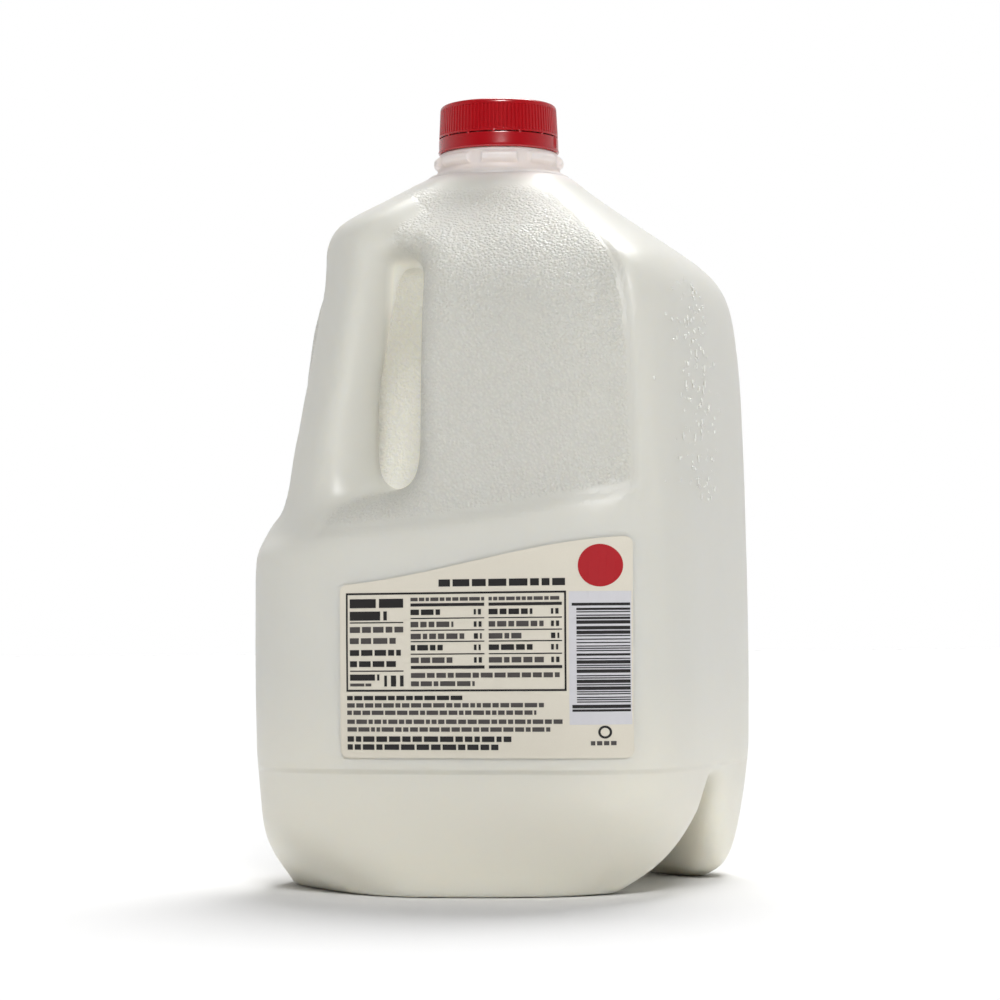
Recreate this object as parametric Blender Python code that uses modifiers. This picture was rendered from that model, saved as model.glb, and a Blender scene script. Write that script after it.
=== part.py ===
"""Plastic milk jug, one gallon, shut and full.

A square blow-moulded jug with soft corners stands on its base, with the
handle at the -X corner and the pouring corner at +X. The four flat sides
face the diagonals. The jug is mirrored over the plane Y = 0, its origin is
the centre of its footprint, and lengths are in metres.
"""

import math

import bmesh
import bpy
from mathutils import Vector

MM = 0.001

# Whole jug
GROOVE_Z = 39.5 * MM             # fine step that runs round above the feet
GROOVE_STEP = 0.7 * MM
GROOVE_BLEND = 0.75 * MM         # half the height that the step takes
LOFT_LOW_Z = -6.0 * MM           # the walls run on below the floor, and are cut there
SHOULDER_TOP_Z = 235.5 * MM
RING_SEGMENTS = 144
RING_SPACING = 2.5 * MM

# Height, distance to a flat side, and squareness (2 is round) of the plain jug
SECTIONS = [
    (-6.0, 58.0, 2.9),
    (0.0, 66.0, 3.2),
    (4.0, 69.6, 3.4),
    (8.0, 71.4, 3.6),
    (20.0, 73.3, 4.1),
    (39.0, 75.0, 4.6),
    (70.0, 75.3, 4.6),
    (119.0, 74.7, 4.6),
    (164.0, 73.4, 4.6),
    (184.0, 71.9, 4.4),
    (194.0, 70.4, 4.1),
    (201.0, 67.0, 3.8),
    (207.0, 60.2, 3.5),
    (214.0, 50.4, 3.1),
    (221.0, 40.5, 2.8),
    (228.5, 30.2, 2.4),
    (235.5, 22.6, 2.0),
]

# The corner at the handle is rounder at mid height
CORNER_SOFTENING = 1.4
CORNER_REACH = math.radians(80.0)
CORNER_FADE_IN_Z = (-10.0 * MM, 45.0 * MM)
CORNER_FADE_OUT_Z = (190.0 * MM, 140.0 * MM)

# Base: the feet draw in below the side corners, and the handle's foot is cut flat
SIDE_TUCK = 0.13
SIDE_TUCK_Z = (32.0 * MM, -4.0 * MM)
HEEL_FLAT_X = 64.5 * MM
HEEL_FLAT_RISE = 1.35            # how fast that flat leans outwards
HEEL_FLAT_REACH = math.radians(72.0)
HEEL_ROUNDING = 16.0 * MM
HEEL_LIFT = 12.0 * MM            # the heel is tighter on the handle's side
HEEL_LIFT_TOP = 30.0 * MM
HEEL_LIFT_REACH = (math.radians(105.0), math.radians(45.0))
PUSH_UP_X = -32.0 * MM
PUSH_UP_RADIUS = 20.0 * MM
PUSH_UP_HEIGHT = 4.0 * MM
PUSH_UP_STEPS = 8
PUSH_UP_SEGMENTS = 32
UNDERCUT = 8.0 * MM              # how far the cutters reach past the floor
FLOOR_CUT_WIDTH = 300.0 * MM
FLOOR_CUT_DEPTH = 40.0 * MM

# Channel across the base: it rises in a bow to the front foot
CHANNEL_START_X = 6.5 * MM
CHANNEL_PEAK_X = 41.5 * MM
CHANNEL_HEIGHT = 36.0 * MM
CHANNEL_REACH = 110.0 * MM
CHANNEL_BOW = 0.42               # how much steeper the bow is at its front
CHANNEL_STEPS = 12

# Front foot: a rounded knob under the pouring corner
FOOT_X = 66.0 * MM
FOOT_HEIGHT = 36.0 * MM
FOOT_TOP_Z = 46.0 * MM
FOOT_BACK = (2.0 * MM, 22.0 * MM)        # reach towards the axis at the floor, and growth
FOOT_ACROSS = (14.0 * MM, 38.0 * MM)     # half width at the floor, and growth
FOOT_ROUNDING = 9.0 * MM
FOOT_SEGMENTS = 72
FOOT_LIMIT = 200.0 * MM
WALL_SEARCH_REACH = 150.0 * MM
WALL_SEARCH_STEPS = 24

# Scooped panels on the two sides next to the handle
PANEL_DEPTH = 4.0 * MM
PANEL_EDGE_ANGLE = math.radians(91.0)
PANEL_EDGE_SOFTNESS = math.radians(3.5)
PANEL_FLOOR_HANDLE_Z = 113.0 * MM
PANEL_FLOOR_SIDE_Z = 126.0 * MM
PANEL_LEDGE = (1.5 * MM, 4.5 * MM)       # height of the ledge below and above its middle
PANEL_FADE = (1.0 * MM, 7.0 * MM)
SCOOP_REACH = math.radians(95.0)

# Fold where the shoulder meets the slanting top of those panels
FOLD_FOOT_Z = 162.0 * MM
FOLD_CURVE = 2.2                 # the slant starts upright and leans in more and more
FOLD_FOOT_BLEND = 10.0 * MM
FOLD_SIDE_Z = 207.0 * MM         # fold's height at the side corner, and beside the neck
FOLD_HANDLE_Z = 230.0 * MM
FOLD_SIDE_ANGLE = math.radians(88.0)
FOLD_POWER = 5.0
FOLD_ROOT = (math.radians(30.0), math.radians(56.0))    # flank of the handle's root
FOLD_ROUNDING = 4.0 * MM

# Trough behind the handle, where the fingers go
TROUGH_WALL_X = 21.0 * MM        # from the axis to the wall behind the handle
TROUGH_RIDGE_R = 74.0 * MM
TROUGH_RIDGE_LEAN = 0.04         # how much further out the ridge is, lower down
TROUGH_MIDDLE_Z = 168.0 * MM
TROUGH_RIDGE_ANGLE = math.radians(41.0)
TROUGH_POWER = 3.0
TROUGH_REACH = 1.6               # where its curve stops, as a share of the ridge's angle
TROUGH_FLOOR_Z = (120.0 * MM, 136.0 * MM)
TROUGH_ROOF_Z = (210.0 * MM, 200.0 * MM)
RIDGE_ROUNDING = 6.0 * MM
ROOT_SLOPE = 1.5                 # how fast the root draws in above the handle
ROOT_LEAST_COSINE = 0.2

# Handle: height, outer face, inner face and half width across
HANDLE_SECTIONS = [
    (100.0, 84.8, 40.0, 22.0),
    (112.0, 78.8, 43.0, 20.0),
    (124.0, 75.0, 46.5, 17.5),
    (140.0, 72.2, 49.4, 15.5),
    (158.0, 68.4, 48.8, 15.0),
    (180.0, 63.6, 45.2, 15.0),
    (200.0, 59.8, 40.5, 15.5),
    (208.0, 59.3, 36.0, 17.0),
    (215.0, 57.2, 28.0, 17.5),
    (220.0, 49.8, 18.0, 17.0),
    (226.0, 37.6, 8.0, 16.0),
    (232.0, 27.0, 0.0, 14.0),
]
HANDLE_SQUARENESS = 4.2
HANDLE_SEGMENTS = 32
HANDLE_SPACING = 4.0 * MM

# The skin of the moulded jug
SKIN_CELL = 3.2 * MM
SKIN_FACTOR = 0.5
SKIN_SMOOTHING = 6
SKIN_KEPT = 0.19                 # share of the skin's triangles that its form needs

# Neck
NECK_ROOT_Z = 228.0 * MM
NECK_SEGMENTS = 48
NECK_PROFILE = [
    (24.4, 233.2),
    (23.0, 234.6),
    (21.3, 235.4),
    (21.0, 236.4),
    (21.9, 237.2),
    (21.9, 238.4),
    (20.4, 239.2),
    (19.6, 239.8),
    (19.4, 241.4),
    (18.6, 241.9),
    (17.4, 242.2),
    (17.4, 254.6),
]

# Cap and tamper band
CAP_RADIUS = 19.7 * MM
CAP_BOTTOM_Z = 247.3 * MM
CAP_TOP_Z = 258.0 * MM
CAP_RIBS = 96
CAP_RIB_DEPTH = 0.35 * MM
CAP_RIB_TOP_Z = 256.2 * MM
CAP_WALL = 1.5 * MM
CAP_LID = 1.5 * MM
CAP_RIM = (0.4 * MM, 0.3 * MM)           # rounding of the lower rim, in and up
CAP_DRAFT = 0.1 * MM
CAP_CORNER = (0.6 * MM, 0.7 * MM)        # rounding of the top edge, in and down
CAP_TOP_IN = 1.6 * MM
BAND_RADIUS = 19.9 * MM
BAND_BOTTOM_Z = 242.3 * MM
BAND_TOP_Z = 246.9 * MM
BAND_WALL = 1.2 * MM
BAND_ROUNDING = 0.35 * MM
BAND_SEGMENTS = 48

# Label, stuck on the side to the -X -Y of the axis, along and up that side
LABEL_HANDLE_EDGE = -30.5 * MM
LABEL_CORNER_EDGE = 62.5 * MM
LABEL_BOTTOM_Z = 43.8 * MM
LABEL_TOP_HANDLE_Z = 98.0 * MM
LABEL_TOP_SIDE_Z = 112.0 * MM
LABEL_CLEARANCE = 0.45 * MM
LABEL_THICKNESS = 0.3 * MM
LABEL_RISE = (-0.1, 1.05)        # where along the label its upper edge starts and stops to climb
LABEL_START = 100.0 * MM         # distance from the axis before it is laid on the wall
LABEL_COLUMNS = 20
LABEL_ROWS = 11

# Finishes: colour, roughness and metallic value
HDPE_WHITE = ("moulded_hdpe_white", (0.83, 0.83, 0.79), 0.42)
CAP_RED = ("moulded_pp_red", (0.62, 0.012, 0.018), 0.36)
BAND_RED = ("moulded_pp_band_red", (0.60, 0.012, 0.018), 0.36)
LABEL_CREAM = ("coated_label_cream", (0.84, 0.80, 0.70), 0.5)


def clear_scene():
    """Remove what the scene holds."""
    for obj in list(bpy.data.objects):
        bpy.data.objects.remove(obj, do_unlink=True)


def make_collection(name):
    """Add a collection to the scene."""
    collection = bpy.data.collections.new(name)
    bpy.context.scene.collection.children.link(collection)
    return collection


def make_material(finish):
    """Plain plastic or paper of one colour."""
    name, colour, roughness = finish
    material = bpy.data.materials.new(name)
    material.use_nodes = True
    shader = material.node_tree.nodes["Principled BSDF"]
    shader.inputs["Base Color"].default_value = (*colour, 1.0)
    shader.inputs["Roughness"].default_value = roughness
    shader.inputs["Metallic"].default_value = 0.0
    return material


def ease(low, high, value):
    """Smooth step from 0 at low to 1 at high."""
    t = min(max((value - low) / (high - low), 0.0), 1.0)
    return t * t * (3.0 - 2.0 * t)


def soft_min(a, b, rounding):
    """The smaller of two lengths, with a rounded change from one to the other."""
    h = max(rounding - abs(a - b), 0.0) / rounding
    return min(a, b) - h * h * rounding * 0.25


def read_rows(rows, z):
    """Values of a table of sections at a height, along smooth curves through its rows."""
    z_mm = min(max(z / MM, rows[0][0]), rows[-1][0])
    last = len(rows) - 1
    i = max(k for k in range(last) if rows[k][0] <= z_mm)
    span = rows[i + 1][0] - rows[i][0]
    t = (z_mm - rows[i][0]) / span
    values = []
    for column in range(1, len(rows[0])):
        here = rows[i][column]
        there = rows[i + 1][column]
        slope_here = row_slope(rows, i, column) * span
        slope_there = row_slope(rows, i + 1, column) * span
        values.append(
            (2 * t**3 - 3 * t**2 + 1) * here
            + (t**3 - 2 * t**2 + t) * slope_here
            + (3 * t**2 - 2 * t**3) * there
            + (t**3 - t**2) * slope_there
        )
    return values


def row_slope(rows, i, column):
    """Slope of one column of a table at a row; flat at a turning point."""
    before = rows[max(i - 1, 0)]
    here = rows[i]
    after = rows[min(i + 1, len(rows) - 1)]
    if here is before:
        return (after[column] - here[column]) / (after[0] - here[0])
    if here is after:
        return (here[column] - before[column]) / (here[0] - before[0])
    down = (here[column] - before[column]) / (here[0] - before[0])
    up = (after[column] - here[column]) / (after[0] - here[0])
    if down * up <= 0.0:
        return 0.0
    return 2.0 * down * up / (down + up)


def plain_radius(theta, z):
    """Distance from the axis to the wall of the jug, before panels and handle."""
    from_handle = abs(math.pi - abs(theta))
    lift = HEEL_LIFT * ease(HEEL_LIFT_TOP, 0.0, z) * ease(*HEEL_LIFT_REACH, from_handle)
    half, squareness = read_rows(SECTIONS, z + lift)
    near_handle = ease(CORNER_REACH, 0.0, from_handle)
    near_handle *= ease(*CORNER_FADE_IN_Z, z) * ease(*CORNER_FADE_OUT_Z, z)
    squareness -= CORNER_SOFTENING * near_handle
    across = abs(math.cos(theta - math.pi / 4)) ** squareness
    along = abs(math.sin(theta - math.pi / 4)) ** squareness
    radius = half * MM / (across + along) ** (1.0 / squareness)
    radius -= GROOVE_STEP * ease(GROOVE_Z + GROOVE_BLEND, GROOVE_Z - GROOVE_BLEND, z)
    radius *= 1.0 - SIDE_TUCK * math.sin(theta) ** 4 * ease(*SIDE_TUCK_Z, z)
    if from_handle < HEEL_FLAT_REACH:
        flat = (HEEL_FLAT_X + HEEL_FLAT_RISE * max(z, 0.0)) / math.cos(from_handle)
        radius = soft_min(radius, flat, HEEL_ROUNDING)
    return radius


def jug_radius(theta, z):
    """Distance from the axis to the wall, with the panels and the trough, without the handle."""
    from_handle = abs(math.pi - abs(theta))
    radius = plain_radius(theta, z)
    if from_handle > SCOOP_REACH:
        return radius
    radius = panelled_radius(radius, theta, from_handle, z)
    root = root_radius(z)
    if z > PANEL_FLOOR_HANDLE_Z and root < radius * math.cos(from_handle) + RIDGE_ROUNDING:
        radius = soft_min(radius, root / max(math.cos(from_handle), ROOT_LEAST_COSINE), RIDGE_ROUNDING)
    return troughed_radius(radius, from_handle, z)


def fold_height(from_handle):
    """Height of the fold, which climbs from the side corner to the handle's root."""
    share = min(from_handle / FOLD_SIDE_ANGLE, 1.0)
    return FOLD_SIDE_Z + (FOLD_HANDLE_Z - FOLD_SIDE_Z) * (1.0 - share**FOLD_POWER)


def panelled_radius(radius, theta, from_handle, z):
    """Set the wall back for the panel, which slants in under the fold."""
    side_share = from_handle / (math.pi / 2)
    floor = PANEL_FLOOR_HANDLE_Z + (PANEL_FLOOR_SIDE_Z - PANEL_FLOOR_HANDLE_Z) * side_share**2
    fold = fold_height(from_handle)
    inside = ease(PANEL_EDGE_ANGLE, PANEL_EDGE_ANGLE - PANEL_EDGE_SOFTNESS, from_handle)
    panel = ease(floor - PANEL_LEDGE[0], floor + PANEL_LEDGE[1], z)
    panel *= ease(fold + PANEL_FADE[0], fold - PANEL_FADE[1], z)
    radius -= PANEL_DEPTH * panel * inside
    low = plain_radius(theta, FOLD_FOOT_Z) - PANEL_DEPTH
    high = plain_radius(theta, fold)
    climb = max(z - FOLD_FOOT_Z, 0.0) / (fold - FOLD_FOOT_Z)
    slant = low + (high - low) * climb**FOLD_CURVE
    share = ease(FOLD_FOOT_Z - FOLD_FOOT_BLEND, FOLD_FOOT_Z + FOLD_FOOT_BLEND, z)
    share *= ease(*FOLD_ROOT, from_handle) * inside
    return radius + (soft_min(radius, slant, FOLD_ROUNDING) - radius) * share


def troughed_radius(radius, from_handle, z):
    """Set the wall back behind the handle."""
    share = min(from_handle / TROUGH_RIDGE_ANGLE, TROUGH_REACH)
    ridge = TROUGH_RIDGE_R + TROUGH_RIDGE_LEAN * (TROUGH_MIDDLE_Z - z)
    wall = TROUGH_WALL_X + (ridge - TROUGH_WALL_X) * share**TROUGH_POWER
    wall = soft_min(radius, wall, RIDGE_ROUNDING)
    return radius + (wall - radius) * ease(*TROUGH_FLOOR_Z, z) * ease(*TROUGH_ROOF_Z, z)


def root_radius(z):
    """Outer face of the handle, carried up into the shoulder."""
    outer = read_rows(HANDLE_SECTIONS, z)[0] * MM
    above = max(z - HANDLE_SECTIONS[-1][0] * MM, 0.0)
    return outer - ROOT_SLOPE * above


def jug_ring(z):
    """One level outline of the jug."""
    points = []
    for k in range(RING_SEGMENTS):
        theta = -math.pi + 2.0 * math.pi * k / RING_SEGMENTS
        radius = jug_radius(theta, z)
        points.append(Vector((radius * math.cos(theta), radius * math.sin(theta), z)))
    return points


def handle_ring(z):
    """One level outline of the handle: a rounded rectangle."""
    outer, inner, half_width = read_rows(HANDLE_SECTIONS, z)
    centre = -(outer + inner) / 2
    half_depth = (outer - inner) / 2
    points = []
    for k in range(HANDLE_SEGMENTS):
        theta = -math.pi + 2.0 * math.pi * k / HANDLE_SEGMENTS
        c = math.cos(theta)
        s = math.sin(theta)
        size = (abs(c) ** HANDLE_SQUARENESS + abs(s) ** HANDLE_SQUARENESS) ** (-1 / HANDLE_SQUARENESS)
        x = (centre + half_depth * c * size) * MM
        points.append(Vector((x, half_width * s * size * MM, z)))
    return points


def loft(name, rings):
    """Closed solid through level rings of equal count, flat at both ends."""
    mesh = bpy.data.meshes.new(name)
    shape = bmesh.new()
    loops = [[shape.verts.new(point) for point in ring] for ring in rings]
    count = len(loops[0])
    for lower, upper in zip(loops, loops[1:]):
        for k in range(count):
            j = (k + 1) % count
            shape.faces.new((lower[k], lower[j], upper[j], upper[k]))
    shape.faces.new(list(reversed(loops[0])))
    shape.faces.new(loops[-1])
    shape.to_mesh(mesh)
    shape.free()
    return bpy.data.objects.new(name, mesh)


def levels(bottom, top, spacing):
    """Evenly spaced heights from bottom to top."""
    count = max(round((top - bottom) / spacing), 1)
    return [bottom + (top - bottom) * k / count for k in range(count + 1)]


def turned(name, profile, segments):
    """Turned solid: a profile run down its outer side, spun about Z."""
    mesh = bpy.data.meshes.new(name)
    shape = bmesh.new()
    verts = [shape.verts.new((r, 0.0, z)) for r, z in profile]
    for a, b in zip(verts, verts[1:]):
        shape.edges.new((a, b))
    shape.to_mesh(mesh)
    shape.free()
    obj = bpy.data.objects.new(name, mesh)
    screw = obj.modifiers.new("spin", "SCREW")
    screw.steps = segments
    screw.render_steps = segments
    screw.use_merge_vertices = True
    screw.merge_threshold = 0.00005
    return obj


def boolean(target, cutter, operation):
    """Join or cut with another object, live."""
    modifier = target.modifiers.new(operation.lower(), "BOOLEAN")
    modifier.operation = operation
    modifier.solver = "EXACT"
    modifier.object = cutter


def as_cutter(obj, cutters):
    """Keep a helper solid out of the picture."""
    cutters.objects.link(obj)
    obj.hide_render = True
    obj.display_type = "WIRE"
    return obj


def make_channel(cutters):
    """Cutter for the space under the front: a bow-shaped rise, then level to the front."""
    outline = [(CHANNEL_START_X - UNDERCUT, -UNDERCUT)]
    for k in range(CHANNEL_STEPS + 1):
        t = k / CHANNEL_STEPS
        rise = CHANNEL_HEIGHT * ((1.0 - CHANNEL_BOW) * t + CHANNEL_BOW * t**3)
        outline.append((CHANNEL_START_X + (CHANNEL_PEAK_X - CHANNEL_START_X) * t, rise))
    outline.append((CHANNEL_REACH, CHANNEL_HEIGHT))
    outline.append((CHANNEL_REACH, -UNDERCUT))
    mesh = bpy.data.meshes.new("channel")
    shape = bmesh.new()
    face = shape.faces.new([shape.verts.new((x, -CHANNEL_REACH, z)) for x, z in outline])
    swept = bmesh.ops.extrude_face_region(shape, geom=[face])
    moved = [item for item in swept["geom"] if isinstance(item, bmesh.types.BMVert)]
    bmesh.ops.translate(shape, vec=(0.0, 2 * CHANNEL_REACH, 0.0), verts=moved)
    bmesh.ops.recalc_face_normals(shape, faces=shape.faces)
    shape.to_mesh(mesh)
    shape.free()
    return as_cutter(bpy.data.objects.new("channel", mesh), cutters)


def wall_distance(start_x, phi, z):
    """Level distance from a point on the X axis to the jug's wall."""
    near = 0.0
    far = WALL_SEARCH_REACH
    for _ in range(WALL_SEARCH_STEPS):
        middle = (near + far) / 2
        x = start_x + middle * math.cos(phi)
        y = middle * math.sin(phi)
        if math.hypot(x, y) < jug_radius(math.atan2(y, x), z):
            near = middle
        else:
            far = middle
    return near


def foot_ring(z):
    """One level outline of the front foot: an egg, held inside the jug's wall."""
    growth = math.sqrt(1.0 - (1.0 - min(max(z / FOOT_HEIGHT, 0.0), 1.0)) ** 2)
    back = FOOT_BACK[0] + FOOT_BACK[1] * growth
    across = FOOT_ACROSS[0] + FOOT_ACROSS[1] * growth
    points = []
    for k in range(FOOT_SEGMENTS):
        phi = -math.pi + 2.0 * math.pi * k / FOOT_SEGMENTS
        inward = min(math.cos(phi), 0.0) / back
        egg = 1.0 / max(math.hypot(inward, math.sin(phi) / across), 1.0 / FOOT_LIMIT)
        reach = soft_min(egg, wall_distance(FOOT_X, phi, z), FOOT_ROUNDING)
        points.append(Vector((FOOT_X + reach * math.cos(phi), reach * math.sin(phi), z)))
    return points


def make_floor(cutters):
    """Cutter for all that is below the floor."""
    mesh = bpy.data.meshes.new("below_floor")
    shape = bmesh.new()
    bmesh.ops.create_cube(shape, size=1.0)
    size = (FLOOR_CUT_WIDTH, FLOOR_CUT_WIDTH, FLOOR_CUT_DEPTH)
    bmesh.ops.scale(shape, vec=size, verts=shape.verts)
    bmesh.ops.translate(shape, vec=(0.0, 0.0, -FLOOR_CUT_DEPTH / 2), verts=shape.verts)
    shape.to_mesh(mesh)
    shape.free()
    return as_cutter(bpy.data.objects.new("below_floor", mesh), cutters)


def make_push_up(cutters):
    """Cutter for the shallow dome in the middle of the base."""
    rise = PUSH_UP_HEIGHT
    sphere = (PUSH_UP_RADIUS**2 + rise**2) / (2 * rise)
    profile = [(0.0, rise)]
    for k in range(1, PUSH_UP_STEPS + 1):
        angle = math.asin(PUSH_UP_RADIUS / sphere) * k / PUSH_UP_STEPS
        profile.append((sphere * math.sin(angle), rise - sphere * (1 - math.cos(angle))))
    profile.append((PUSH_UP_RADIUS, -UNDERCUT))
    profile.append((0.0, -UNDERCUT))
    dome = as_cutter(turned("push_up", profile, PUSH_UP_SEGMENTS), cutters)
    dome.location.x = PUSH_UP_X
    return dome


def make_jug(part, cutters):
    """Jug with its handle and neck, moulded as one piece."""
    heights = levels(LOFT_LOW_Z, SHOULDER_TOP_Z, RING_SPACING)
    jug = loft("jug", [jug_ring(z) for z in heights])
    part.objects.link(jug)
    handle_low = HANDLE_SECTIONS[0][0] * MM
    handle_high = HANDLE_SECTIONS[-1][0] * MM
    handle_heights = levels(handle_low, handle_high, HANDLE_SPACING)
    handle = as_cutter(loft("handle_core", [handle_ring(z) for z in handle_heights]), cutters)
    boolean(jug, handle, "UNION")
    boolean(jug, make_channel(cutters), "DIFFERENCE")
    foot_heights = levels(LOFT_LOW_Z, FOOT_TOP_Z, RING_SPACING)
    foot = as_cutter(loft("foot_core", [foot_ring(z) for z in foot_heights]), cutters)
    boolean(jug, foot, "UNION")
    skin = jug.modifiers.new("skin", "REMESH")
    skin.mode = "VOXEL"
    skin.voxel_size = SKIN_CELL
    soften = jug.modifiers.new("soften", "SMOOTH")
    soften.factor = SKIN_FACTOR
    soften.iterations = SKIN_SMOOTHING
    thin = jug.modifiers.new("thin", "DECIMATE")
    thin.ratio = SKIN_KEPT
    boolean(jug, make_push_up(cutters), "DIFFERENCE")
    boolean(jug, make_floor(cutters), "DIFFERENCE")
    boolean(jug, make_neck(cutters), "UNION")
    jug.data.materials.append(make_material(HDPE_WHITE))
    return jug


def make_neck(cutters):
    """Neck with its ring, up into the cap."""
    profile = [(0.0, NECK_PROFILE[-1][1] * MM)]
    profile += [(r * MM, z * MM) for r, z in reversed(NECK_PROFILE)]
    profile += [(NECK_PROFILE[0][0] * MM, NECK_ROOT_Z), (0.0, NECK_ROOT_Z)]
    return as_cutter(turned("neck_core", profile, NECK_SEGMENTS), cutters)


def cap_ring(radius, z, depth):
    """Outline of the cap, with its ribs cut in to a depth."""
    points = []
    count = CAP_RIBS * 2
    for k in range(count):
        theta = 2.0 * math.pi * k / count
        r = radius - depth * (k % 2)
        points.append(Vector((r * math.cos(theta), r * math.sin(theta), z)))
    return points


def make_cap(part):
    """Ribbed screw cap, hollow below for the neck."""
    inner = CAP_RADIUS - CAP_WALL
    rings = [
        cap_ring(inner, CAP_TOP_Z - CAP_LID, 0.0),
        cap_ring(inner, CAP_BOTTOM_Z, 0.0),
        cap_ring(CAP_RADIUS - CAP_RIM[0], CAP_BOTTOM_Z, 0.0),
        cap_ring(CAP_RADIUS, CAP_BOTTOM_Z + CAP_RIM[1], CAP_RIB_DEPTH),
        cap_ring(CAP_RADIUS - CAP_DRAFT, CAP_RIB_TOP_Z, CAP_RIB_DEPTH),
        cap_ring(CAP_RADIUS - CAP_CORNER[0], CAP_TOP_Z - CAP_CORNER[1], 0.0),
        cap_ring(CAP_RADIUS - CAP_TOP_IN, CAP_TOP_Z, 0.0),
    ]
    cap = loft("cap", rings)
    part.objects.link(cap)
    cap.data.materials.append(make_material(CAP_RED))
    return cap


def make_band(part):
    """Tamper band: a plain hoop that stays on the neck."""
    inner = BAND_RADIUS - BAND_WALL
    profile = [
        (inner, BAND_TOP_Z),
        (BAND_RADIUS - BAND_ROUNDING, BAND_TOP_Z),
        (BAND_RADIUS, BAND_TOP_Z - BAND_ROUNDING),
        (BAND_RADIUS, BAND_BOTTOM_Z + BAND_ROUNDING),
        (BAND_RADIUS - BAND_ROUNDING, BAND_BOTTOM_Z),
        (inner, BAND_BOTTOM_Z),
        (inner, BAND_TOP_Z),
    ]
    band = turned("tamper_band", profile, BAND_SEGMENTS)
    part.objects.link(band)
    band.data.materials.append(make_material(BAND_RED))
    return band


def label_top(along):
    """Height of the label's upper edge, which climbs away from the handle."""
    share = ease(*LABEL_RISE, (along - LABEL_HANDLE_EDGE) / (LABEL_CORNER_EDGE - LABEL_HANDLE_EDGE))
    return LABEL_TOP_HANDLE_Z + (LABEL_TOP_SIDE_Z - LABEL_TOP_HANDLE_Z) * share


def make_label(part, jug):
    """Thin label that follows the wall of the side facing -X -Y."""
    outward = Vector((-1.0, -1.0, 0.0)).normalized()
    sideways = Vector((1.0, -1.0, 0.0)).normalized()
    mesh = bpy.data.meshes.new("label")
    shape = bmesh.new()
    grid = bmesh.ops.create_grid(shape, x_segments=LABEL_COLUMNS, y_segments=LABEL_ROWS, size=0.5)
    for vert in grid["verts"]:
        along = LABEL_HANDLE_EDGE + (LABEL_CORNER_EDGE - LABEL_HANDLE_EDGE) * (vert.co.x + 0.5)
        z = LABEL_BOTTOM_Z + (label_top(along) - LABEL_BOTTOM_Z) * (vert.co.y + 0.5)
        vert.co = outward * LABEL_START + sideways * along
        vert.co.z = z
    bmesh.ops.recalc_face_normals(shape, faces=shape.faces)
    if shape.faces[:][0].normal.dot(outward) < 0.0:
        bmesh.ops.reverse_faces(shape, faces=shape.faces)
    shape.to_mesh(mesh)
    shape.free()
    label = bpy.data.objects.new("label", mesh)
    part.objects.link(label)
    wrap = label.modifiers.new("wrap", "SHRINKWRAP")
    wrap.target = jug
    wrap.wrap_method = "PROJECT"
    wrap.use_negative_direction = True
    wrap.use_positive_direction = False
    wrap.offset = LABEL_CLEARANCE
    sheet = label.modifiers.new("thickness", "SOLIDIFY")
    sheet.thickness = LABEL_THICKNESS
    sheet.offset = 1.0
    label.data.materials.append(make_material(LABEL_CREAM))
    return label


def main():
    clear_scene()
    part = make_collection("plastic_milk_jug")
    cutters = make_collection("cutters")
    jug = make_jug(part, cutters)
    make_cap(part)
    make_band(part)
    make_label(part, jug)


main()
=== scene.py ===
# %% [markdown]
# # A full gallon jug of milk
#
# The subject is a blow-moulded jug of translucent white plastic, full of milk, with a moulded
# handle, a ribbed red cap, a tamper band and a cream paper label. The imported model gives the
# sizes. This lesson dresses it: each piece is modelled again with the detail that the eye
# expects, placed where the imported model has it, and given a material for what it is made of.

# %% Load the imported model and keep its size
import math
import random

import bmesh
import bpy
from mathutils import Matrix, Vector


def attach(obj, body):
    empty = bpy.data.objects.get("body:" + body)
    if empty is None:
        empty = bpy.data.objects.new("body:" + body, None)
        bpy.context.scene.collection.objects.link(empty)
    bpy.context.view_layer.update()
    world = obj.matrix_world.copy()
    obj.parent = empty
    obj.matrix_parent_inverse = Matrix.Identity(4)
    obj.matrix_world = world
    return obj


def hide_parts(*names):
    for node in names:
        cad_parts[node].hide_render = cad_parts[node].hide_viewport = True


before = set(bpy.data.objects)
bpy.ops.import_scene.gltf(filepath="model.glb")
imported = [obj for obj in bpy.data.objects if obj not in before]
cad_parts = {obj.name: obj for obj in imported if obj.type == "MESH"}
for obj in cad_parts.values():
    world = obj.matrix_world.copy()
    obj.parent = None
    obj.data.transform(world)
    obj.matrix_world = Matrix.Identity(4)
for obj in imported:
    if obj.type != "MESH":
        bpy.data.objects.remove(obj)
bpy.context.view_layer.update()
MM = 0.001

# %% [markdown]
# ## Small helpers
#
# Blender's operators act on all that is selected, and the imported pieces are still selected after
# loading. So each step first deselects everything, and then selects the one piece that it works
# on. A colour is written as the hex code that a colour picker shows, and turned to linear light.

# %% Helpers for selecting, applying and colouring
def only(piece):
    """Select one piece and nothing else."""
    bpy.ops.object.select_all(action="DESELECT")
    piece.select_set(True)
    bpy.context.view_layer.objects.active = piece


def edit(piece, kind="FACE"):
    """Go into edit mode on one piece with nothing selected."""
    only(piece)
    bpy.ops.object.mode_set(mode="EDIT")
    bpy.ops.mesh.select_mode(type=kind)
    bpy.ops.mesh.select_all(action="DESELECT")


def leave():
    bpy.ops.object.mode_set(mode="OBJECT")


def pick(piece, wanted, kind="faces"):
    """In edit mode, select the faces, edges or vertices for which wanted() is true."""
    shape = bmesh.from_edit_mesh(piece.data)
    found = 0
    for item in getattr(shape, kind):
        chosen = bool(wanted(item))
        item.select = chosen
        found += chosen
    shape.select_flush_mode()
    bmesh.update_edit_mesh(piece.data)
    return found


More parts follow.
